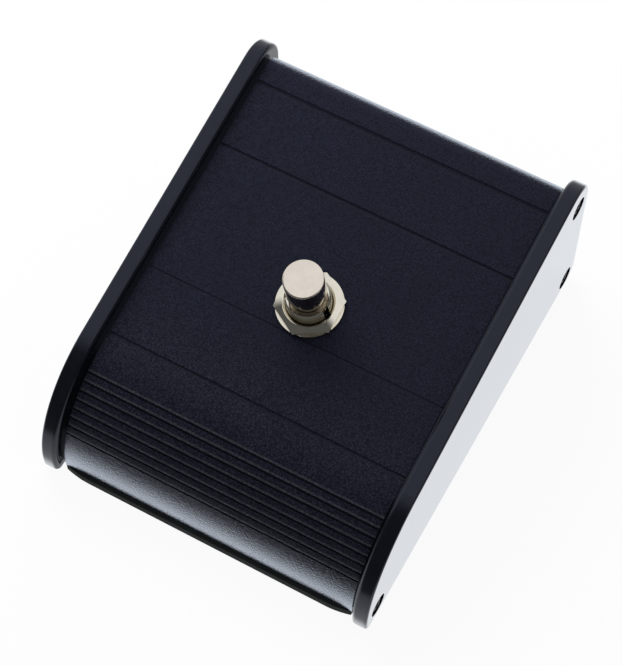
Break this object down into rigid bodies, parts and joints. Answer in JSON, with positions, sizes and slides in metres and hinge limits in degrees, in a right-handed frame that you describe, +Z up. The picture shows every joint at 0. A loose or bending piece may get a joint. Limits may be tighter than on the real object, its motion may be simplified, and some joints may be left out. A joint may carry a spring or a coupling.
{
  "type": "foot pedal switch",
  "caption": "Wedge-shaped foot pedal with an extruded top, moulded side plates, a sprung round push button on the slope and a plug socket in the back wall.",
  "frame": {"origin": "middle of the footprint, on the surface the pedal stands on", "axes": "+X to the user's right, +Y away from the user towards the socket, +Z up"},
  "size_m": [0.096, 0.1203, 0.0576],
  "materials": {
    "housing": "black powder coat, satin, fine texture",
    "side_plate": "moulded, gloss",
    "black_screw": "blackened steel",
    "base_plate": "black coat, matt",
    "mat": "matt",
    "bush": "nickel plated brass",
    "nut": "nickel plated",
    "washer": "nickel plated",
    "button": "nickel plated, turned",
    "carrier": "natural nylon",
    "contact": "plain",
    "spring": "spring steel",
    "case": "tinned steel",
    "phenolic": "phenolic board",
    "sleeve": "nickel plated brass",
    "frame": "plated steel strip",
    "leaf": "nickel silver",
    "rivet": "plain",
    "signal_lead": "insulation, red",
    "ground_lead": "insulation, black"
  },
  "bodies": {
    "pedal": {"housing": "housing", "rear_rail": "housing", "back_panel": "housing", "left_side_plate": "side_plate", "right_side_plate": "side_plate", "left_side_screws": "black_screw", "right_side_screws": "black_screw", "base_plate": "base_plate", "base_screws": "black_screw", "rubber_mat": "mat", "switch_bush": "bush", "switch_nut": "nut", "switch_washer": "washer", "lock_washer": "washer", "jam_nut": "nut", "return_spring": "spring", "switch_case": "case", "switch_base": "phenolic", "live_terminal": "contact", "common_terminal": "contact", "jack_sleeve": "sleeve", "jack_washer": "washer", "jack_nut": "nut", "jack_frame": "frame", "jack_insulators": "phenolic", "tip_spring": "leaf", "jack_rivets": "rivet", "signal_wire": "signal_lead", "ground_wire": "ground_lead"},
    "button": {"push_button": "button", "contact_carrier": "carrier", "contact_bridge": "contact"}
  },
  "joints": [
    {"name": "button_press", "type": "slide", "parent": "pedal", "child": "button", "axis": [0, -0.1736, 0.9848], "range_m": [-0.0035, 0], "stiffness_N_per_m": 1200, "springref_m": 0.005, "deforming": ["return_spring"]}
  ]
}
